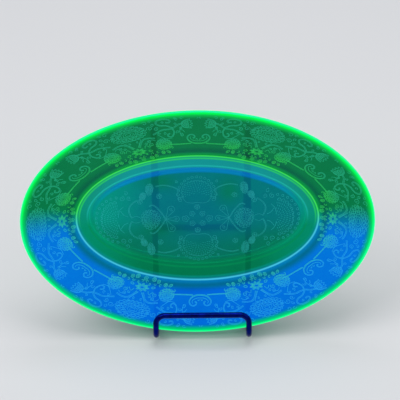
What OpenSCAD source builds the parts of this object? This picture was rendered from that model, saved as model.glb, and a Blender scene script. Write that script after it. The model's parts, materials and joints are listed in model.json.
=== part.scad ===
// Oval pressed-glass dish standing in a bent-wire plate stand.
// Millimetres. +Z is up, +X runs along the dish, and the dish faces -Y.
// The origin is on the table, in the middle of the whole object's footprint.

/* [Dish] */
// Length of the dish over its rim
dish_length = 305; // [250:1:340]
// Width of the dish over its rim
dish_width = 211; // [180:1:240]
// Height of the dish from its foot to the top of its rim
dish_height = 24; // [23:0.5:30]
// Width of the sloping rim, from its edge to the shoulder
rim_band = 48.6; // [42:0.1:54]
// Rise of the rim from the shoulder to its edge
rim_rise = 13; // [8:0.5:13.5]
// How much closer the shoulder comes to the rim's edge above and below than it does at the ends
shoulder_reach = 2; // [0:0.1:4]
// Thickness of the glass at the edge of the rim
edge_t = 4.2; // [4.1:0.1:5]
// Radius of the rolled top corner of the edge
edge_r = 2.4; // [1.5:0.1:2.4]
// Width of the sloping wall between the shoulder and the floor
wall_run = 11.4; // [9:0.1:14]
// Depth of the floor below the shoulder
well_drop = 4.2; // [3:0.1:5]
// Thickness of the floor
floor_t = 4.8; // [3.6:0.1:5.5]
// Width of the foot ring's flat face
foot_w = 4; // [3:0.1:6]

/* [Stand] */
// Diameter of the wire
wire_d = 5; // [3:0.1:5.5]
// Distance between the two sides of the stand, centre to centre
side_gap = 81; // [60:1:100]
// Centreline radius of the bends in the front wire
bend_r = 8; // [5:0.5:9]
// Centreline radius of the bends in the rear leg
leg_bend_r = 9; // [6:0.5:12]
// Height of the lip bar above the trough, centre to centre
lip_rise = 22.2; // [19:0.1:26]
// Clear distance between the rim and the lip
lip_clear = 6.6; // [6.4:0.1:9]
// Where the rails bend over at the top, above the dish's centre along the dish
rail_top = 68; // [60:1:69]
// Lean of the dish back from upright
lean = 16; // [12:1:20]
// Backward slant of the rear leg from upright
leg_slant = 19; // [14:1:24]
// How far the cross brace sits below the dish's centre, along the dish
brace_drop = 80; // [70:1:88]
// How far the stand sits to the right of the dish's middle
stand_shift = 3.5; // [-8:0.5:8]

/* [Hidden] */

// Clearance between the dish and the wires that carry it
rest_gap = 0.3;
// Depth that the brace shares with each rail at its weld
weld = 0.15;
// Flats around one ring of the dish
ring_steps = 96;

wire_r = wire_d / 2;
semi_x = dish_length / 2;
semi_y = dish_width / 2;
side = side_gap / 2;

// Heights above the foot plane, and distances in from the rim's edge
shoulder_z = dish_height - rim_rise;
floor_z = shoulder_z - well_drop;
recess_z = floor_z - floor_t;
floor_in = rim_band + wall_run;
foot_in = floor_in - 1;

// Section of the dish: each corner is [distance in from the edge, height, radius, arc steps].
// It runs from the floor up the wall, out along the rim, over the edge and back underneath.
SECTION = [
    [floor_in + 4, floor_z, 0, 0],
    [floor_in, floor_z, 6, 4],
    [rim_band, shoulder_z, 1.6, 3],
    [0, dish_height, edge_r, 4],
    [0, dish_height - edge_t, 1.2, 2],
    [rim_band + 2, shoulder_z - edge_t - 0.4, 4, 2],
    [foot_in - 0.8, recess_z + 1.4, 1.6, 2],
    [foot_in, 0, 0.8, 1],
    [foot_in + foot_w, 0, 0.8, 1],
    [foot_in + foot_w + 1.2, recess_z, 1.2, 1],
    [foot_in + foot_w + 4, recess_z, 0, 0]
];

// Extra half-width of a ring of the dish: it grows from the edge to the shoulder and is gone at the floor
function widening(inward) =
    shoulder_reach * (inward < rim_band ? inward / rim_band : max(0, (floor_in - inward) / wall_run));

function unit(v) = v / norm(v);
function hundredth(v) = round(v * 100) / 100;

// Arc that rounds the flat corner p between a and b
function round_corner(a, p, b, r, steps) =
    let (way = unit(p - a),
         next = unit(b - p),
         turn = acos(way * next),
         start = p - way * r * tan(turn / 2),
         inward = [-way.y, way.x] * (way.x * next.y > way.y * next.x ? 1 : -1))
    [for (k = [0:steps]) start + inward * r * (1 - cos(turn * k / steps)) + way * r * sin(turn * k / steps)];

function flat(corner) = [corner[0], corner[1]];
function section_points() = [
    flat(SECTION[0]),
    for (i = [1:len(SECTION) - 2])
        each round_corner(flat(SECTION[i - 1]), flat(SECTION[i]), flat(SECTION[i + 1]),
                          SECTION[i][2], SECTION[i][3]),
    flat(SECTION[len(SECTION) - 1])
];

// "up" is measured along the leaning dish and "out" square to it, both from the rim's centre.
// The rim rests on the trough wire nearer to the dish's middle, where the rim is lower.
near = side - abs(stand_shift);
rim_slope = semi_y * near / (semi_x * semi_x * sqrt(1 - pow(near / semi_x, 2)));
rim_low = -semi_y * sqrt(1 - pow(near / semi_x, 2));
trough_up = hundredth(rim_low - (wire_r + rest_gap) * sqrt(1 + rim_slope * rim_slope));
rail_out = -dish_height - rest_gap - wire_r;
lip_out = lip_clear + wire_r;
lip_up = trough_up + lip_rise;

// The rails bend over by this much, to point down the rear leg
top_turn = 180 - lean - leg_slant;
leg_top_up = rail_top + bend_r * sin(top_turn);
leg_top_out = rail_out - bend_r + bend_r * cos(top_turn);

// Height of the dish's centre when the bends below the rails touch the table
centre_z = (bend_r + wire_r) - (trough_up + bend_r) * cos(lean) - (rail_out + bend_r) * sin(lean);

// How far [up, out] lies behind the dish's centre and above the table
function behind(up, out) = up * sin(lean) - out * cos(lean);
function above(up, out) = centre_z + up * cos(lean) + out * sin(lean);

leg_length = hundredth((above(leg_top_up, leg_top_out) - wire_r) / cos(leg_slant));

// The object's front and back, and the place of the dish's centre half way between them
front = behind(trough_up + bend_r, lip_out - bend_r) - (bend_r + wire_r);
back = behind(leg_top_up, leg_top_out) + leg_length * sin(leg_slant) + wire_r;
centre_y = -(front + back) / 2;

// Puts children drawn as [across, up, out] into the leaning dish's place
module leaning() {
    translate([0, centre_y, centre_z])
        rotate([90 - lean, 0, 0])
            children();
}

// A straight wire from a to b
module rod(a, b) {
    way = unit(b - a);
    translate(a)
        rotate([0, acos(way.z), atan2(way.y, way.x)])
            cylinder(h = norm(b - a), r = wire_r, $fn = 48);
}

// A wire bent about a centre. It starts on the outward side of the centre and sets off along way.
module bend(centre, outward, way, r = bend_r, turn = 90) {
    axle = cross(outward, way);
    multmatrix([for (i = [0:2]) [outward[i], way[i], axle[i], centre[i]]])
        rotate_extrude(angle = turn, $fn = 96)
            translate([r, 0])
                circle(r = wire_r, $fn = 48);
}

// The one-piece glass dish: oval rings of the section, closed by the flat floor and recess
module dish() {
    points = section_points();
    rings = len(points);
    vertices = [for (p = points, k = [0:ring_steps - 1])
        let (turn = 360 * k / ring_steps)
        [(semi_x - p.x) * cos(turn), (semi_y - p.x + widening(p.x)) * sin(turn), p.y - dish_height]];
    sides = [for (i = [0:rings - 2], k = [0:ring_steps - 1])
        let (a = i * ring_steps + k,
             b = i * ring_steps + (k + 1) % ring_steps,
             c = a + ring_steps,
             d = b + ring_steps)
        each [[a, b, c], [b, d, c]]];
    floor_face = [for (k = [ring_steps - 1:-1:0]) k];
    recess_face = [for (k = [0:ring_steps - 1]) (rings - 1) * ring_steps + k];
    color([0.1, 0.75, 0.35, 0.6])
        leaning()
            polyhedron(points = vertices, faces = concat([floor_face], sides, [recess_face]));
}

// One side of the front wire, from the bend over its top down the rail, along the trough
// and up to the lip. It is drawn for the right side.
module front_side() {
    top = [side, rail_top, rail_out];
    heel = [side, trough_up + bend_r, rail_out];
    toe = [side, trough_up + bend_r, lip_out];
    corner = [side, lip_up - bend_r, lip_out];
    deep = [0, 0, bend_r];
    low = [0, -bend_r, 0];
    bend(top - deep, [0, 0, 1], [0, 1, 0], turn = top_turn);
    rod(top, heel);
    bend(heel + deep, [0, 0, -1], [0, -1, 0]);
    rod(heel + deep + low, toe - deep + low);
    bend(toe - deep, [0, -1, 0], [0, 0, 1]);
    rod(toe, corner);
    bend(corner - [bend_r, 0, 0], [1, 0, 0], [0, 1, 0]);
}

// Lip bar, uprights, trough, rails and the bends over their tops, all one wire
module front_wire() {
    reach = side - bend_r;
    color([0.06, 0.06, 0.07])
        leaning()
            translate([stand_shift, 0, 0]) {
                front_side();
                mirror([1, 0, 0]) front_side();
                rod([-reach, lip_up, lip_out], [reach, lip_up, lip_out]);
            }
}

// One side of the rear leg, drawn from its top down, for the right side
module leg_side() {
    foot = [side, leg_bend_r - leg_length, 0];
    rod([side, 0, 0], foot);
    bend(foot - [leg_bend_r, 0, 0], [1, 0, 0], [0, -1, 0], r = leg_bend_r);
}

// The rear leg: two wires from the rails' tops to the table, and the bar that joins them there
module rear_leg() {
    reach = side - leg_bend_r;
    color([0.06, 0.06, 0.07])
        translate([stand_shift, centre_y + behind(leg_top_up, leg_top_out), above(leg_top_up, leg_top_out)])
            rotate([90 + leg_slant, 0, 0]) {
                leg_side();
                mirror([1, 0, 0]) leg_side();
                rod([-reach, -leg_length, 0], [reach, -leg_length, 0]);
            }
}

// The straight wire welded across the back of the two rails
module cross_brace() {
    reach = side + wire_r;
    color([0.06, 0.06, 0.07])
        leaning()
            translate([stand_shift, -brace_drop, rail_out - wire_d + weld])
                rod([-reach, 0, 0], [reach, 0, 0]);
}

dish();
front_wire();
rear_leg();
cross_brace();
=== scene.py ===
"""Oval pressed uranium-glass dish with an etched floral border, standing in a bent-wire plate stand."""

import bisect
import json
import math

import bpy
from mathutils import Matrix, Vector


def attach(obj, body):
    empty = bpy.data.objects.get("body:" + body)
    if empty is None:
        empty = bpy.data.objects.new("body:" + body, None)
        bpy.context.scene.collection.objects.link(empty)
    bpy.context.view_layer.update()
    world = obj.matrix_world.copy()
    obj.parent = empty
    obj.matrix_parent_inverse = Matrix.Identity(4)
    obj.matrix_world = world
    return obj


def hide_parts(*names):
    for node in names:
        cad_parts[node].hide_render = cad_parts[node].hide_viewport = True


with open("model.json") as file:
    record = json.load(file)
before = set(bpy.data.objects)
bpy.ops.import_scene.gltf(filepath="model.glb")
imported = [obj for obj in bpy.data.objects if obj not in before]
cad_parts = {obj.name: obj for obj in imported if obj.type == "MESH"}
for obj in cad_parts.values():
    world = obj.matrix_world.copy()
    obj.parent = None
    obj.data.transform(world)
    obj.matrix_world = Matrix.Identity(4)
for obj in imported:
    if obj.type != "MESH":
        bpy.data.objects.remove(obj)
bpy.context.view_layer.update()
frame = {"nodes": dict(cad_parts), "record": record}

# ---------------------------------------------------------------- sizes of the dish, in millimetres
MM = 0.001
HEIGHT = 24.0
RIM_BAND = 48.6
SHOULDER_Z = 11.0
SHOULDER_REACH = 2.0
WALL_RUN = 11.4
FLOOR_IN = RIM_BAND + WALL_RUN
FLAT_IN = FLOOR_IN + 5
FLOOR_Z = 6.8
EDGE_T = 4.2
FOOT_IN = FLOOR_IN - 1
FOOT_W = 4.0
RECESS_Z = 2.0
RING_STEPS = 360
RIM_SLOPE = (HEIGHT - SHOULDER_Z) / RIM_BAND

# The dish's own frame: x across, y up along the leaning dish, z out of its front, from the rim's centre
foot = next(m for m in frame["record"]["mounts"] if m["name"] == "foot")
OUT = -Vector(foot["axis"]).normalized()
ACROSS = Vector((1, 0, 0))
UP = OUT.cross(ACROSS)
dish_points = [vertex.co for vertex in frame["nodes"]["dish"].data.vertices]


def spread(way):
    """How far the CAD dish reaches along a direction: its least and its most."""
    reach = [way.dot(point) for point in dish_points]
    return min(reach), max(reach)


left, right = spread(ACROSS)
bottom, top = spread(UP)
foot_plane = spread(OUT)[0]
SEMI_X = (right - left) / 2 / MM
SEMI_Y = (top - bottom) / 2 / MM
CENTRE = ACROSS * (left + right) / 2 + UP * (bottom + top) / 2 + OUT * (foot_plane + HEIGHT * MM)


def widening(inward):
    """Extra half-width of a ring: it grows from the edge to the shoulder and is gone at the floor."""
    if inward < RIM_BAND:
        return SHOULDER_REACH * inward / RIM_BAND
    return SHOULDER_REACH * max(0.0, (FLOOR_IN - inward) / WALL_RUN)


def to_row(x, y, z):
    """A point of the dish, in millimetres with z above its foot plane, as a place in the row frame."""
    return CENTRE + (ACROSS * x + UP * y + OUT * (z - HEIGHT)) * MM


# ---------------------------------------------------------------- colours
def display(red, green, blue):
    """A colour given by its 0 to 255 display values, as linear light."""
    def linear(value):
        value /= 255
        return value / 12.92 if value <= 0.04045 else ((value + 0.055) / 1.055) ** 2.4
    return Vector((linear(red), linear(green), linear(blue)))


def rise(value, low, high):
    """0 below low, 1 above high, and smooth between them."""
    share = min(1.0, max(0.0, (value - low) / (high - low)))
    return share * share * (3 - 2 * share)


def ridge(value, centre, half_width):
    """1 at centre, falling smoothly to 0 at half_width either side."""
    return 1 - rise(abs(value - centre), 0, half_width)


# Painted highlight along the outermost edge, then the edge's painted glow, bluer on the lower half as painted
# reflection
EDGE_PAINTED_HIGHLIGHT = display(30, 240, 160)
EDGE_GLOW = display(6, 246, 84)
EDGE_GLOW_LOW = display(10, 250, 140)
# Rim: painted glow, with RIM_LOW's blue the painted reflection on the lower half
RIM_HIGH = display(3, 112, 64)
RIM_LOW = display(2, 114, 224)
# A darker band of painted shade in the rim towards the shoulder, bluer below; underneath takes half of it
PAINTED_SHADE_BAND_HIGH = display(0, 88, 62)
PAINTED_SHADE_BAND_LOW = display(0, 104, 150)
# A brighter band of painted glow just outside the shoulder, blue on the lower half as painted reflection
SHOULDER_GLOW_BAND_HIGH = display(6, 158, 58)
SHOULDER_GLOW_BAND_LOW = display(8, 128, 182)
# A painted highlight on the shoulder bead, pale blue below, and a painted glowing line just inside it
SHOULDER_HIGH = display(70, 240, 96)
SHOULDER_LOW = display(80, 214, 240)
SHOULDER_LINE_HIGH = display(44, 205, 90)
SHOULDER_LINE_LOW = display(10, 138, 122)
# Wall: painted glow, teal above and a blue band at its upper foot as painted reflection, green below
WALL_HIGH = display(0, 142, 146)
WALL_SIDE = display(0, 139, 120)
WALL_LOW = display(1, 117, 82)
WALL_LOW_SIDE = display(0, 137, 108)
WALL_FOOT_HIGH = display(4, 118, 186)
# A lighter painted line of glow at the wall's foot, teal above as painted reflection
INNER_LINE_HIGH = display(30, 176, 170)
INNER_LINE_LOW = display(8, 138, 88)
# Floor: painted glow, teal and blue as painted reflection, greener below and in patches
FLOOR_HIGH = display(6, 112, 122)
FLOOR_SIDE = display(6, 140, 126)
FLOOR_MIDDLE = display(4, 104, 128)
FLOOR_GREEN = display(2, 114, 76)
FLOOR_LOW = display(3, 110, 84)
# Etched lines: the painted glow paled, their blue on the lower half as painted reflection
FROST_OUTER_HIGH = display(36, 176, 132)
FROST_OUTER_LOW = display(26, 158, 232)
FROST_INNER_HIGH = display(46, 204, 78)
FROST_INNER_LOW = display(44, 192, 172)
FROST_FLOOR = display(30, 160, 166)

# The part of the look that comes from light through the glass and off its face
LET_THROUGH = (0.002, 0.056, 0.040)
LEAST_GLOW = 0.25

# Greener patches on the floor: place across and up, half-width and half-height
GREEN_PATCHES = ((27, 24, 11, 13), (-32, 33, 14, 7), (-34, -12, 18, 8))


# Mask of the painted reflection: it puts painted blue on the rim's lower half and teal on the wall's upper
# half
def painted_reflection_half(x, y):
    """0 on the upper half of the dish, 1 on the lower half. The change is slower towards the dish's ends."""
    reach = 8 + 10 * rise(abs(x), 80, 140)
    return rise(-y - 3 * ridge(x, 40, 70), 1 - reach, 1 + reach)


def patch(x, y, across, up, wide, high):
    """1 at (across, up), fading as a soft oval."""
    return math.exp(-((x - across) / wide) ** 2 - ((y - up) / high) ** 2)


def floor_glow(x, y):
    """The floor's painted glow: bluer in the middle as painted reflection, greener below and in three soft
    patches.
    """
    middle = patch(x, y, 0, 4, 46, 30)
    green = max(patch(x, y, *place) for place in GREEN_PATCHES)
    colour = FLOOR_HIGH.lerp(FLOOR_SIDE, rise(-x, 30, 80))
    colour = colour.lerp(FLOOR_LOW, rise(-y, -2, 26) * (1 - 0.6 * middle))
    return colour.lerp(FLOOR_MIDDLE, 0.8 * middle).lerp(FLOOR_GREEN, 0.7 * green)


def glow(x, y, inward, under=False):
    """The painted light that the glass gives off at (x, y), a given distance in from the rim's edge."""
    whole = look(x, y, inward, under)
    return Vector([max(LEAST_GLOW * part, part - lent) for part, lent in zip(whole, LET_THROUGH)])


def look(x, y, inward, under):
    """The colour that the glass is seen in at (x, y), from its face or from underneath: painted glow, with
    painted reflection, highlights and shade.
    """
    low = painted_reflection_half(x, y)
    edge = EDGE_PAINTED_HIGHLIGHT.lerp(EDGE_GLOW.lerp(EDGE_GLOW_LOW, low), rise(inward, 0.2, 1.6))
    if under:
        colour = RIM_HIGH.lerp(PAINTED_SHADE_BAND_HIGH, 0.5)
        return colour.lerp(edge, 1 - rise(inward, 0.4, 5))
    rim = RIM_HIGH.lerp(RIM_LOW, low * rise(inward, 2, 9))
    rim = rim.lerp(PAINTED_SHADE_BAND_HIGH.lerp(PAINTED_SHADE_BAND_LOW, low), ridge(inward, 43.2, 6.5))
    colour = rim.lerp(edge, 1 - 0.55 * rise(inward, 1.5, 3.5) - 0.45 * rise(inward, 2, 8))
    if inward > RIM_BAND:
        wall = WALL_HIGH.lerp(WALL_SIDE, rise(abs(x), 50, 100))
        wall_foot = WALL_FOOT_HIGH.lerp(wall, rise(abs(x), 55, 98))
        colour = wall.lerp(wall_foot, rise(inward, 58.5, 59.5))
        colour = colour.lerp(WALL_LOW.lerp(WALL_LOW_SIDE, rise(abs(x), 40, 100)), low)
        colour = colour.lerp(floor_glow(x, y), rise(inward, 62.5, 64.5))
    colour = colour.lerp(SHOULDER_GLOW_BAND_HIGH.lerp(SHOULDER_GLOW_BAND_LOW, low), 0.7 * ridge(inward, RIM_BAND - 1.2, 4.6))
    colour = colour.lerp(SHOULDER_HIGH.lerp(SHOULDER_LOW, low), 0.9 * ridge(inward, RIM_BAND - 0.4, 1.1))
    line = SHOULDER_LINE_HIGH.lerp(SHOULDER_LINE_LOW, low)
    colour = colour.lerp(line, 0.9 * ridge(inward, RIM_BAND + 1.9, 1.1))
    return colour.lerp(INNER_LINE_HIGH.lerp(INNER_LINE_LOW, low), 0.8 * ridge(inward, 57.4, 1.1))


# ---------------------------------------------------------------- mesh helpers
def mesh_piece(name, vertices, faces, colours, material, smooth=True):
    """A mesh piece in the row frame, with its glow stored on its points."""
    mesh = bpy.data.meshes.new(name)
    mesh.from_pydata(vertices, [], faces)
    mesh.validate()
    mesh.polygons.foreach_set("use_smooth", [smooth] * len(mesh.polygons))
    stored = mesh.color_attributes.new("glow", "FLOAT_COLOR", "POINT")
    for point, colour in zip(stored.data, colours):
        point.color = (*colour, 1)
    mesh.materials.append(material)
    piece = bpy.data.objects.new(name, mesh)
    bpy.context.scene.collection.objects.link(piece)
    return piece


# The widest turn, in degrees, between two points of a rounded corner
CORNER_STEP = 14


def rounded(corners, spacing):
    """A line through (distance, height, radius) corners, each rounded, with points about spacing apart."""
    points = [Vector(corners[0][:2])]
    for before, here, after in zip(corners, corners[1:], corners[2:]):
        corner = Vector(here[:2])
        way = (corner - Vector(before[:2])).normalized()
        onward = (Vector(after[:2]) - corner).normalized()
        turn = math.acos(max(-1.0, min(1.0, way.dot(onward))))
        start = corner - way * here[2] * math.tan(turn / 2)
        side = 1 if way.x * onward.y - way.y * onward.x > 0 else -1
        inward = Vector((-way.y, way.x)) * side
        steps = max(2, math.ceil(turn / math.radians(CORNER_STEP)))
        for step in range(steps + 1):
            angle = turn * step / steps
            points.append(start + here[2] * (inward * (1 - math.cos(angle)) + way * math.sin(angle)))
    points.append(Vector(corners[-1][:2]))
    filled = [points[0]]
    for point in points[1:]:
        gap = (point - filled[-1]).length
        if gap < 1e-6:
            continue
        start, parts = filled[-1], max(1, math.ceil(gap / spacing))
        filled += [start.lerp(point, part / parts) for part in range(1, parts + 1)]
    return filled


# ---------------------------------------------------------------- materials
def new_material(name):
    """A material with its nodes, its links and its shader."""
    material = bpy.data.materials.new(name)
    material.use_nodes = True
    nodes, links = material.node_tree.nodes, material.node_tree.links
    return material, nodes, links, nodes["Principled BSDF"]


def noise(nodes, links, scale, detail):
    """Procedural noise over the object, as a value from 0 to 1."""
    place = nodes.new("ShaderNodeTexCoord")
    texture = nodes.new("ShaderNodeTexNoise")
    texture.inputs["Scale"].default_value = scale
    texture.inputs["Detail"].default_value = detail
    links.new(place.outputs["Object"], texture.inputs["Vector"])
    return texture.outputs["Fac"]


def ranged(nodes, links, value, low, high):
    """A value from 0 to 1, moved to lie between low and high."""
    moved = nodes.new("ShaderNodeMapRange")
    moved.inputs["To Min"].default_value = low
    moved.inputs["To Max"].default_value = high
    links.new(value, moved.inputs["Value"])
    return moved.outputs["Result"]


def glow_from_points(nodes, links, shader, strength):
    """Makes the shader give off the glow stored on the mesh's points, times strength."""
    stored = nodes.new("ShaderNodeAttribute")
    stored.attribute_name = "glow"
    mixed = nodes.new("ShaderNodeVectorMath")
    mixed.operation = "SCALE"
    links.new(stored.outputs["Color"], mixed.inputs[0])
    links.new(strength, mixed.inputs["Scale"])
    links.new(mixed.outputs["Vector"], shader.inputs["Emission Color"])
    shader.inputs["Emission Strength"].default_value = 1


def glass_material():
    """Fluorescent glass: it lets some light through and gives off a painted glow, unevenly where the glass is
    seedy.
    """
    material, nodes, links, shader = new_material("uranium_glass")
    shader.inputs["Base Color"].default_value = (0.001, 0.075, 0.03, 1)
    shader.inputs["Transmission Weight"].default_value = 1
    shader.inputs["IOR"].default_value = 1.48
    # Painted blue-green tint on its reflections, standing for the lamp's light
    shader.inputs["Specular Tint"].default_value = (0.02, 0.36, 0.9, 1)
    seeds = noise(nodes, links, 26, 3)
    glow_from_points(nodes, links, shader, ranged(nodes, links, seeds, 0.84, 1.06))
    smears = noise(nodes, links, 60, 4)
    links.new(ranged(nodes, links, smears, 0.03, 0.12), shader.inputs["Roughness"])
    return material


def frost_material():
    """Etched lines: the glass made matt, giving off a painted glow that stands for the glow it scatters."""
    material, nodes, links, shader = new_material("etched_frost")
    shader.inputs["Base Color"].default_value = (0.002, 0.05, 0.03, 1)
    shader.inputs["Roughness"].default_value = 0.7
    shader.inputs["Specular IOR Level"].default_value = 0.15
    grain = noise(nodes, links, 900, 2)
    glow_from_points(nodes, links, shader, ranged(nodes, links, grain, 0.6, 1.3))
    return material


def wire_material():
    """Gloss black coating with deep violet-blue glints and a faint orange peel: the glints' blue is painted
    reflection of the lamp, from a deep blue metal colour.
    """
    material, nodes, links, shader = new_material("black_wire")
    shader.inputs["Metallic"].default_value = 1
    speckle = noise(nodes, links, 240, 4)
    # Painted reflection: a deep blue metal colour, varying with the speckle, so the black coating's glints
    # come out violet-blue
    tone = nodes.new("ShaderNodeValToRGB")
    tone.color_ramp.elements[0].position = 0.35
    tone.color_ramp.elements[0].color = (0.0006, 0.005, 0.09, 1)
    tone.color_ramp.elements[1].position = 0.75
    tone.color_ramp.elements[1].color = (0.002, 0.009, 0.23, 1)
    links.new(speckle, tone.inputs["Fac"])
    links.new(tone.outputs["Color"], shader.inputs["Base Color"])
    links.new(ranged(nodes, links, speckle, 0.22, 0.42), shader.inputs["Roughness"])
    peel = nodes.new("ShaderNodeBump")
    peel.inputs["Strength"].default_value = 0.12
    peel.inputs["Distance"].default_value = 0.0003
    links.new(speckle, peel.inputs["Height"])
    links.new(peel.outputs["Normal"], shader.inputs["Normal"])
    return material


def table_material():
    """A plain pale table with the faintest mottle."""
    material, nodes, links, shader = new_material("pale_table")
    shader.inputs["Roughness"].default_value = 0.8
    mottle = nodes.new("ShaderNodeTexNoise")
    mottle.inputs["Scale"].default_value = 3
    tone = nodes.new("ShaderNodeValToRGB")
    tone.color_ramp.elements[0].color = (0.60, 0.60, 0.61, 1)
    tone.color_ramp.elements[1].color = (0.64, 0.64, 0.65, 1)
    links.new(mottle.outputs["Fac"], tone.inputs["Fac"])
    links.new(tone.outputs["Color"], shader.inputs["Base Color"])
    return material


# ---------------------------------------------------------------- the glass
# Each corner is (distance in from the rim's edge, height above the foot plane, radius). The section runs
# from the floor up the wall, over a low bead at the shoulder, out along the rim and back underneath.
BEAD_H = 0.35
EDGE_UNDER = (0, HEIGHT - EDGE_T, 1.2)
SECTION = [
    (FLAT_IN, FLOOR_Z, 0),
    (FLOOR_IN, FLOOR_Z, 5),
    (RIM_BAND + 0.4, SHOULDER_Z - 0.2 + BEAD_H, 0.7),
    (RIM_BAND - 1.0, SHOULDER_Z + 0.2 + BEAD_H, 0.7),
    (RIM_BAND - 2.0, SHOULDER_Z + 0.45, 0.5),
    (0, HEIGHT, 2.4),
    EDGE_UNDER,
    (RIM_BAND + 2, SHOULDER_Z - EDGE_T - 0.4, 4),
    (FOOT_IN - 0.8, RECESS_Z + 1.4, 1.6),
    (FOOT_IN, 0, 0.8),
    (FOOT_IN + FOOT_W, 0, 0.8),
    (FOOT_IN + FOOT_W + 1.2, RECESS_Z, 1.2),
    (FOOT_IN + FOOT_W + 4, RECESS_Z, 0),
]
# Points lie closer together on the face, where the glow has fine lines, than underneath
LINE_SPACING = 0.6
UNDER_SPACING = 2.4
FLOOR_RINGS = 12


def glass_dish():
    """The pressed dish: ovals of the section, closed by a flat floor inside and a flat recess beneath."""
    # The face's fine points give way to the coarse ones at this height on the upright part of the edge
    seam = HEIGHT - EDGE_T + 1
    edge = SECTION.index(EDGE_UNDER)
    outline = [p for p in rounded(SECTION[:edge + 1], LINE_SPACING) if p.x > 0.01 or p.y > seam]
    outline += [p for p in rounded(SECTION[edge - 1:], UNDER_SPACING) if p.x > 0.01 or p.y < seam]
    turned = min(range(len(outline)), key=lambda i: outline[i].x)
    rings = []
    inner_a, inner_b = SEMI_X - FLAT_IN, SEMI_Y - FLAT_IN
    for ring in range(1, FLOOR_RINGS):
        share = ring / FLOOR_RINGS
        rings.append((inner_a * share, inner_b * share, FLOOR_Z, FLAT_IN, False))
    for index, point in enumerate(outline):
        semi_b = SEMI_Y - point.x + widening(point.x)
        rings.append((SEMI_X - point.x, semi_b, point.y, point.x, index > turned))
    vertices, colours, faces = [to_row(0, 0, FLOOR_Z)], [glow(0, 0, FLAT_IN)], []
    for semi_a, semi_b, height, inward, under in rings:
        for step in range(RING_STEPS):
            angle = math.tau * step / RING_STEPS
            x, y = semi_a * math.cos(angle), semi_b * math.sin(angle)
            vertices.append(to_row(x, y, height))
            colours.append(glow(x, y, inward, under))
    last = len(vertices)
    vertices.append(to_row(0, 0, RECESS_Z))
    colours.append(glow(0, 0, FLAT_IN, True))
    for step in range(RING_STEPS):
        after = (step + 1) % RING_STEPS
        faces.append((0, 1 + step, 1 + after))
        for ring in range(len(rings) - 1):
            here = 1 + ring * RING_STEPS
            there = here + RING_STEPS
            faces.append((here + step, there + step, there + after, here + after))
        rim = 1 + (len(rings) - 1) * RING_STEPS
        faces.append((last, rim + after, rim + step))
    return mesh_piece("glass_dish", vertices, faces, colours, glass_material())


# ---------------------------------------------------------------- lines of the etched pattern, in millimetres
def curve(*stops, steps=5):
    """A smooth line through the stops."""
    stops = [Vector(stop) for stop in stops]
    ends = [2 * stops[0] - stops[1], *stops, 2 * stops[-1] - stops[-2]]
    line = [stops[0]]
    for a, b, c, d in zip(ends, ends[1:], ends[2:], ends[3:]):
        for step in range(1, steps + 1):
            t = step / steps
            pull = (2 * a - 5 * b + 4 * c - d) * t * t + (3 * b - a - 3 * c + d) * t * t * t
            line.append(b + ((c - a) * t + pull) / 2)
    return line


def around(angle, radius_x, radius_y):
    """The point of an oval at an angle in radians."""
    return Vector((radius_x * math.cos(angle), radius_y * math.sin(angle)))


def arc(radius_x, radius_y, start, end, steps=12):
    """Part of an oval, from start to end in degrees."""
    return [around(math.radians(start + (end - start) * step / steps), radius_x, radius_y)
            for step in range(steps + 1)]


def band(line, width=0.9):
    """A line drawn as its two edges."""
    edges = [[], []]
    for index, point in enumerate(line):
        way = (line[min(index + 1, len(line) - 1)] - line[max(index - 1, 0)]).normalized()
        across = Vector((-way.y, way.x)) * width / 2
        edges[0].append(point + across)
        edges[1].append(point - across)
    return edges


def volute(radius, turns=1.35):
    """A curl that winds in from its outer end at (radius, 0)."""
    steps = round(turns * 13)
    return [[around(math.tau * turns * step / steps, 1, 1) * radius * (1 - 0.82 * step / steps)
             for step in range(steps + 1)]]


def ruffle(radius_x, radius_y, lobes, depth, phase=0.0, start=0.0, end=360.0):
    """An oval line of rounded scallops, from start to end in degrees."""
    line = []
    for step in range(lobes * 4 + 1):
        angle = math.radians(start + (end - start) * step / (lobes * 4))
        reach = 1 - depth * (1 - abs(math.sin(math.pi * step / 4))) + 0.04 * math.sin(3 * angle + phase)
        line.append(around(angle, radius_x, radius_y) * reach)
    return line


def peony(radius_x, radius_y, size=1.0):
    """A full bloom: ruffled outlines one inside the other, with short veins between them."""
    lines = []
    for ring in range(7):
        share = 1 - 0.14 * ring
        lobes = max(4, round(23 * share * size))
        lines.append(ruffle(radius_x * share, radius_y * share, lobes, 0.15, 2.4 * ring))
    veins = round(34 * size)
    for vein in range(veins):
        angle = math.tau * vein / veins
        low, high = ((0.46, 0.66), (0.72, 0.93))[vein % 2]
        near = around(angle, radius_x, radius_y) * low
        far = around(angle + 0.06, radius_x, radius_y) * high
        lines.append([near, far])
    return lines


def star_flower(radius, petals=8, flat=1.0):
    """An open flower with pointed, toothed petals round a ringed eye, seen flattened along y."""
    outline = []
    for step in range(petals * 8 + 1):
        angle = math.tau * step / (petals * 8)
        point = abs(math.cos(petals * angle / 2)) ** 1.3
        tooth = 0.07 * (step % 2)
        outline.append(around(angle, radius, radius) * (0.42 + 0.58 * point - tooth * point))
    lines = [outline, arc(radius * 0.3, radius * 0.3, 0, 360)]
    for petal in range(petals):
        angle = math.tau * petal / petals
        for side in (-0.13, 0.13):
            near = around(angle + side, radius, radius) * 0.38
            far = around(angle + side * 0.5, radius, radius) * 0.8
            lines.append([near, far])
    return [[Vector((p.x, p.y * flat)) for p in line] for line in lines]


def leaf(length, width):
    """The outline of a pointed leaf, from the origin along x."""
    upper = curve((0, 0), (length * 0.35, width / 2), (length * 0.75, width * 0.35), (length, 0), steps=4)
    return [upper, [Vector((point.x, -point.y)) for point in upper]]


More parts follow.
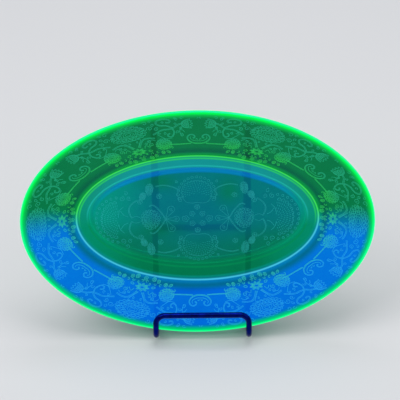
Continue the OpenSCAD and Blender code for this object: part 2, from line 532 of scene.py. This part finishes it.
def sprig(length):
    """Curved leaflets in pairs along one stalk."""
    lines = [[Vector((0, 0)), Vector((length, 0))]]
    for share in (0.1, 0.4, 0.7):
        reach = length * 0.34 * (1.25 - share)
        for side in (-1, 1):
            root = Vector((length * share, 0))
            belly = root + Vector((reach * 0.4, side * reach))
            tip = root + Vector((reach * 1.5, side * reach))
            lines.append(curve(root, belly, tip, steps=3))
    return lines


def floret(radius):
    """A small open bloom of five round petals."""
    return [ruffle(radius, radius, 5, 0.3), arc(radius * 0.34, radius * 0.34, 0, 360, 6)]


def petal(length, radius):
    """A drop-shaped petal with a curl in its round end, from the origin along x."""
    side = curve((0, 0), (length * 0.45, radius * 0.5), (length - radius, radius))
    middle = Vector((length - radius, 0))
    tip = [middle + around(math.radians(90 - 15 * step), radius, radius) for step in range(1, 12)]
    outline = side + tip + [Vector((p.x, -p.y)) for p in reversed(side)]
    return [outline] + placed(volute(radius * 0.55, 1.1), length - radius, 0, 90)


def bud():
    """A half-open bud: a rounded cup of scales under a ragged crown, opening along +y."""
    lines = [arc(5.2, 5.4, 180, 360, 14)]
    lines += [curve((-5.2, 0), (-5.8, 2.8), (-3.9, 1.8), (-3.1, 4.2), (-1.3, 2.2), (0.0, 4.6),
                    (1.3, 2.2), (3.1, 4.2), (3.9, 1.8), (5.8, 2.8), (5.2, 0), steps=3)]
    rows = ((1.4, 4.6, 6), (0.0, 4.7, 5), (-1.4, 4.3, 5), (-2.8, 3.6, 4), (-4.0, 2.4, 3))
    for height, half, scales in rows:
        width = 2 * half / scales
        for scale in range(scales):
            middle = -half + width * (scale + 0.5)
            lines += placed([arc(width / 2, 1.4, 180, 360, 5)], middle, height)
    return lines


def shell(radius_x, radius_y, spread, pitch=3.6):
    """A lacy fan along +y, spread degrees to either side: a beaded arch over rows of short strokes."""
    start, end = 90 - spread, 90 + spread
    count = round(spread / 6.5)
    lines = []
    for step in range(count + 1):
        angle = math.radians(start + (end - start) * step / count)
        lines += placed([arc(1.15, 1.0, 0, 360, 7)], *around(angle, radius_x, radius_y))
    lines.append(ruffle(radius_x * 0.84, radius_y * 0.84, count, 0.1, 0.0, start, end))
    for row in range(6):
        share = 0.72 - 0.12 * row
        strokes = max(3, round(spread * share / pitch))
        for step in range(strokes):
            angle = math.radians(start + (end - start) * (step + 0.3 + 0.4 * (row % 2)) / strokes)
            near = around(angle, radius_x, radius_y) * share
            far = around(angle + 0.05, radius_x, radius_y) * (share + 0.07)
            lines.append([near, far])
    return lines


def placed(lines, x, y, turn=0, scale=1.0, flip=False):
    """Lines flipped about their x axis if asked, then scaled, turned by degrees and moved."""
    across = around(math.radians(turn), scale, scale)
    hand = -1 if flip else 1
    return [[Vector((x + across.x * p.x - across.y * p.y * hand, y + across.y * p.x + across.x * p.y * hand))
             for p in line] for line in lines]


def both_sides(lines):
    """Lines with their mirror image across x = 0."""
    return lines + [[Vector((-p.x, p.y)) for p in line] for line in lines]


# On the rim, x runs along the band from the motif's middle and y runs in from the rim's edge.
def bouquet():
    """Peony at the edge, star flower by the shoulder, a bloom on each side, scrolls and stems between."""
    half = band(curve((43.6, 11.8), (39.2, 13.2), (35.0, 16.4), (30.6, 17.0), (26.2, 17.2), (18.2, 20.8)))
    half += band(curve((18.6, 24.6), (13.6, 23.4), (9.2, 23.6), (5.8, 26.6), (2.8, 31.4)))
    half += [curve((7.2, 22.6), (4.6, 26.6), (1.4, 31.0))]
    half += band(curve((34.8, 16.8), (35.6, 20.8), (33.6, 25.2), (30.6, 25.2), (30.0, 22.8),
                       (32.2, 21.8)), 0.7)
    half += [curve((33.2, 26.8), (28.2, 27.2), (24.6, 24.6), (21.4, 20.8))]
    half += band(curve((35.0, 16.2), (30.6, 13.0), (25.6, 11.8), (23.2, 8.8), (25.4, 6.0), (30.2, 5.6),
                       (33.8, 7.6), (33.0, 9.8), (30.6, 9.2)), 0.8)
    half += placed(volute(2.5), 17.4, 13.4, 160) + placed(volute(2.0), 22.2, 15.2, -30, flip=True)
    half += placed(volute(2.2, 1.1), 15.0, 7.0, 200) + placed(volute(1.5, 1.0), 19.2, 6.2, -20, flip=True)
    half += placed(volute(1.7, 1.1), 38.4, 7.2, 200) + placed(volute(1.4), 41.6, 16.4, 40)
    curls = ((20.6, 10.2, 1.6, 90), (28.2, 9.0, 1.2, 200), (37.6, 11.4, 1.3, 20), (27.8, 21.2, 1.5, 250),
             (38.6, 20.8, 1.7, 130), (41.6, 24.6, 1.4, 310), (3.4, 24.6, 1.2, 60), (9.8, 29.0, 1.4, 170),
             (23.4, 20.0, 1.3, 10), (5.6, 40.0, 1.2, 220), (27.4, 41.8, 1.3, 80))
    for x, y, radius, turn in curls:
        half += placed(volute(radius, 1.1), x, y, turn)
    half += placed(volute(2.2), 13.8, 31.0, 120) + placed(volute(1.7), 13.0, 27.0, 230, flip=True)
    half += [curve((18.4, 27.6), (15.8, 25.8), (12.2, 26.2)), curve((11.4, 33.2), (8.4, 30.6), (6.6, 33.4))]
    half += placed(peony(7.4, 6.2, 0.7), 24.4, 32.6)
    half += placed(volute(1.5, 0.8), 2.2, 41.6, 20) + placed(volute(1.5, 0.8), 11.2, 40.8, 160)
    half += placed(volute(1.6, 0.8), 16.2, 39.8, 40) + placed(volute(1.4, 0.9), 31.0, 37.6, 200)
    half += placed(sprig(4.6), 7.2, 43.2, 48) + placed(sprig(4.0), 20.4, 39.6, 60)
    half += placed(floret(1.8), 13.6, 43.6)
    half += placed(leaf(4.2, 2.0), 24.6, 40.4, 30) + placed(leaf(3.8, 1.8), 8.6, 36.8, 14)
    centre = placed(peony(14.4, 8.6), 0, 14.4) + placed(star_flower(6.8, flat=0.58), 0, 35.8)
    centre += placed(floret(2.1), 0, 44.6)
    return both_sides(half) + centre


def panel():
    """Two buds face to face, a forked leaf under each, and a pair of scrolls on a broken border line."""
    half = placed(bud(), 8.6, 12.6, 96, 0.88)
    half += [curve((12.6, 15.0), (14.8, 17.4), (15.4, 21.2), (14.8, 25.6))]
    half += [curve((15.0, 18.6), (13.0, 19.2), (11.6, 21.4)), curve((15.3, 22.6), (13.7, 22.6), (12.9, 24.6))]
    half += band(curve((0, 34.3), (4.0, 33.9), (7.8, 32.0), (9.8, 28.8), (8.9, 25.8), (6.2, 24.5),
                       (3.8, 25.6), (3.4, 27.6), (5.0, 28.4)), 0.7)
    half += [curve((0, 31.6), (2.8, 31.5), (5.6, 30.4), (7.4, 28.4), (6.6, 26.6))]
    half += [curve((0.7, 30.4), (1.4, 29.0), (2.4, 30.0))]
    half += band(curve((6.8, 34.2), (12, 34.4), (19, 34.3), (26, 33.9)), 0.6)
    half += placed(volute(1.6, 1.0), 12.8, 6.0, 200) + placed(volute(1.3, 0.8), 17.8, 6.2, -20, flip=True)
    half += placed(volute(0.9, 0.7), 1.1, 6.0, 60)
    return both_sides(half)


def well_pattern():
    """Shells at the floor's top, bottom and ends, round blooms and petals between, florets in the middle."""
    quarter = placed(volute(2.7), 14.2, 18.2, 150, flip=True)
    quarter += [curve((0, 15.4), (5, 14.8), (9.4, 16.0), (12.0, 19.6))]
    quarter += [curve((15.4, 20.4), (17.6, 23.2), (14.6, 26.8))] + placed(volute(1.4), 17.4, 35.2, 40)
    quarter += band(curve((35.4, 31.2), (29.0, 32.4), (21.4, 30.8), (14.8, 27.4)), 0.7)
    quarter += placed(petal(13.6, 3.1), 27.6, 0, 119) + placed(floret(2.5), 4.4, 4.6)
    quarter += band(curve((27.8, 0.4), (31.0, 6.0), (35.6, 11.8), (39.0, 13.6), (41.4, 12.4)), 0.7)
    quarter += band(curve((51.8, 18.4), (56.6, 14.6), (59.0, 9.6), (58.0, 4.4), (56.4, 1.6)), 0.8)
    quarter += [curve((56.6, 1.6), (53.4, 3.2), (49.6, 2.2)), curve((60.0, 3.0), (63.4, 4.6), (66.4, 8.6))]
    quarter += placed(peony(3.4, 6.0, 0.42), 40.8, 28.6, 8) + placed(peony(2.8, 4.0, 0.36), 46.8, 22.0, 24)
    quarter += placed(sprig(5.2), 31.4, 19.6, 66) + placed(sprig(5.0), 48.4, 14.6, 70)
    quarter += placed(volute(2.2, 1.1), 61.2, 25.2, 60)
    quarter += placed(volute(2.6), 64.8, 20.4, 100) + placed(volute(2.2), 58.6, 20.6, 220)
    quarter += [curve((68.2, 4.0), (67.0, 9.0), (63.6, 12.6))]
    side = placed(peony(8.6, 9.8, 0.85), 40.4, 0) + placed(petal(12.0, 2.6), 27.6, 0, 180)
    side += placed(floret(3.1), 10.2, 0)
    side += placed(shell(21.4, 20.2, 84, 2.3), 67.4, 0, -90)
    half = placed(shell(16.0, 15.8, 106), 0, 23.8) + placed(sprig(5.4), 0, 8.4, 90) + both_sides(quarter)
    return half + [[Vector((p.x, -p.y)) for p in line] for line in half] + both_sides(side)


# ---------------------------------------------------------------- the pattern on the glass
STROKE_W = 0.46
STROKE_H = 0.07
STROKE_SINK = 0.02
MID_BAND = 24.0
MOTIFS = 6
ARC_STEPS = 1440
RIM_PATTERN_SHIFT = 2.0
WELL_PATTERN_DROP = 2.1
WELL_PATTERN_TURN = math.radians(0.8)


def mid_band_lengths():
    """Lengths along the middle of the rim's band, from its right end round to each of ARC_STEPS angles."""
    lengths = [0.0]
    for step in range(ARC_STEPS):
        angle = math.tau * (step + 0.5) / ARC_STEPS
        pace = math.hypot((SEMI_X - MID_BAND) * math.sin(angle), (SEMI_Y - MID_BAND) * math.cos(angle))
        lengths.append(lengths[-1] + pace * math.tau / ARC_STEPS)
    return lengths


LENGTHS = mid_band_lengths()
MOTIF_LENGTH = LENGTHS[-1] / MOTIFS / 2


def rim_angle(along):
    """The oval's angle at a length along the middle of the band. The pattern sits a little to the right."""
    along %= LENGTHS[-1]
    step = min(bisect.bisect_right(LENGTHS, along), ARC_STEPS) - 1
    share = (along - LENGTHS[step]) / (LENGTHS[step + 1] - LENGTHS[step])
    angle = math.tau * (step + share) / ARC_STEPS
    return angle - RIM_PATTERN_SHIFT / SEMI_X * math.sin(angle) ** 3


def on_rim(along, inward):
    """A place on the rim's face, its normal, and how far in it is."""
    angle = rim_angle(along)
    semi_a, semi_b = SEMI_X - inward, SEMI_Y - inward + widening(inward)
    place = Vector((semi_a * math.cos(angle), semi_b * math.sin(angle), HEIGHT - inward * RIM_SLOPE))
    along_way = Vector((-semi_a * math.sin(angle), semi_b * math.cos(angle), 0))
    inward_way = Vector((-math.cos(angle), (SHOULDER_REACH / RIM_BAND - 1) * math.sin(angle), -RIM_SLOPE))
    normal = along_way.cross(inward_way).normalized()
    return place, normal * (1 if normal.z > 0 else -1), inward


def on_floor(x, y):
    """A place on the floor, its normal, and how far in it counts. The pattern sits a little low, turned."""
    turned = Matrix.Rotation(WELL_PATTERN_TURN, 2) @ Vector((x, y))
    return Vector((turned.x, turned.y - WELL_PATTERN_DROP, FLOOR_Z)), Vector((0, 0, 1)), FLAT_IN


def frost_glow(place, inward):
    """The painted glow of an etched line: the painted glow of the glass under it, paled by the frosting."""
    low = painted_reflection_half(place.x, place.y)
    ground = look(place.x, place.y, inward, False)
    if inward > FLOOR_IN:
        return ground.lerp(FROST_FLOOR, 0.42 + 0.2 * rise(abs(place.x), 54, 66))
    outer = FROST_OUTER_HIGH.lerp(FROST_OUTER_LOW, low)
    inner = FROST_INNER_HIGH.lerp(FROST_INNER_LOW, low)
    return ground.lerp(outer.lerp(inner, rise(inward, 25, 38)), 0.66)


def etching(name, lines, material):
    """Thin raised strokes along lines of (place, normal, inward), each a closed three-sided bar."""
    vertices, faces, colours = [], [], []
    for line in lines:
        first = len(vertices)
        for index, (place, normal, inward) in enumerate(line):
            way = line[min(index + 1, len(line) - 1)][0] - line[max(index - 1, 0)][0]
            side = normal.cross(way).normalized() * STROKE_W / 2
            base = place - normal * STROKE_SINK
            for corner in (base - side, place + normal * STROKE_H, base + side):
                vertices.append(to_row(*corner))
            colours += [frost_glow(place, inward)] * 3
        for index in range(len(line) - 1):
            here = first + 3 * index
            for corner in range(3):
                onward = (corner + 1) % 3
                faces.append((here + corner, here + 3 + corner, here + 3 + onward, here + onward))
        last = len(vertices) - 3
        faces += [(first, first + 1, first + 2), (last + 2, last + 1, last)]
    return mesh_piece(name, vertices, faces, colours, material, smooth=False)


def rim_lines():
    """The rim's pattern: bouquets and panels in turn, carried onto the rim's face."""
    lines = []
    for motif in range(MOTIFS):
        start = motif * 2 * MOTIF_LENGTH
        for drawn, middle in ((bouquet(), start), (panel(), start + MOTIF_LENGTH)):
            lines += [[on_rim(middle + p.x, p.y) for p in line] for line in drawn]
    return lines


# ---------------------------------------------------------------- camera, floor and light
CAMERA_DISTANCE = 2.0
CAMERA_TILT = math.radians(25.5)
AIM_RIGHT = 0.00235
AIM_HIGH = 0.0214
ROLL = math.radians(-0.55)


def camera():
    """The photograph's view: from 25.5 degrees above the dish's own axis and 2 m away."""
    towards = OUT * math.cos(CAMERA_TILT) + UP * math.sin(CAMERA_TILT)
    upright = UP * math.cos(CAMERA_TILT) - OUT * math.sin(CAMERA_TILT)
    aim = CENTRE + ACROSS * AIM_RIGHT + upright * AIM_HIGH
    data = bpy.data.cameras.new("camera")
    data.sensor_width = 36
    data.lens = 210
    viewer = bpy.data.objects.new("camera", data)
    turned = Matrix((ACROSS, upright, towards)).transposed().to_4x4() @ Matrix.Rotation(ROLL, 4, "Z")
    viewer.matrix_world = Matrix.Translation(aim + towards * CAMERA_DISTANCE) @ turned
    bpy.context.scene.collection.objects.link(viewer)
    bpy.context.scene.camera = viewer


def floor():
    """The table top, at z = 0."""
    half = 3.0
    corners = [(-half, -half, 0), (half, -half, 0), (half, half, 0), (-half, half, 0)]
    mesh = bpy.data.meshes.new("table_top")
    mesh.from_pydata(corners, [], [(0, 1, 2, 3)])
    mesh.materials.append(table_material())
    top = bpy.data.objects.new("table_top", mesh)
    bpy.context.scene.collection.objects.link(top)


def softbox(name, place, size, power):
    """A square area light aimed at the dish."""
    data = bpy.data.lights.new(name, "AREA")
    data.shape = "SQUARE"
    data.size = size
    data.energy = power
    lamp = bpy.data.objects.new(name, data)
    lamp.location = place
    lamp.rotation_mode = "QUATERNION"
    lamp.rotation_quaternion = (CENTRE - Vector(place)).to_track_quat("-Z", "Y")
    bpy.context.scene.collection.objects.link(lamp)


def studio():
    """Plain soft light: a pale world and three softboxes."""
    world = bpy.data.worlds.new("studio")
    bpy.context.scene.world = world
    world.use_nodes = True
    world.node_tree.nodes["Background"].inputs["Color"].default_value = (0.80, 0.84, 0.90, 1)
    world.node_tree.nodes["Background"].inputs["Strength"].default_value = 0.45
    softbox("key", (-1.1, -0.5, 1.7), 1.2, 14)
    softbox("fill", (1.3, -0.2, 1.3), 1.4, 6)
    softbox("overhead", (0.05, 0.25, 1.6), 1.0, 14)
    bpy.context.scene.view_settings.view_transform = "Standard"


# ---------------------------------------------------------------- putting it together
camera()
floor()
studio()
black = wire_material()
for name in ("front_wire", "rear_leg", "cross_brace"):
    frame["nodes"][name].data.materials.clear()
    frame["nodes"][name].data.materials.append(black)

glass = glass_dish()
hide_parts("dish")
frost = frost_material()
rim_etching = etching("rim_etching", rim_lines(), frost)
well_etching = etching("well_etching", [[on_floor(*p) for p in line] for line in well_pattern()], frost)
for piece in (glass, rim_etching, well_etching):
    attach(piece, "dish")
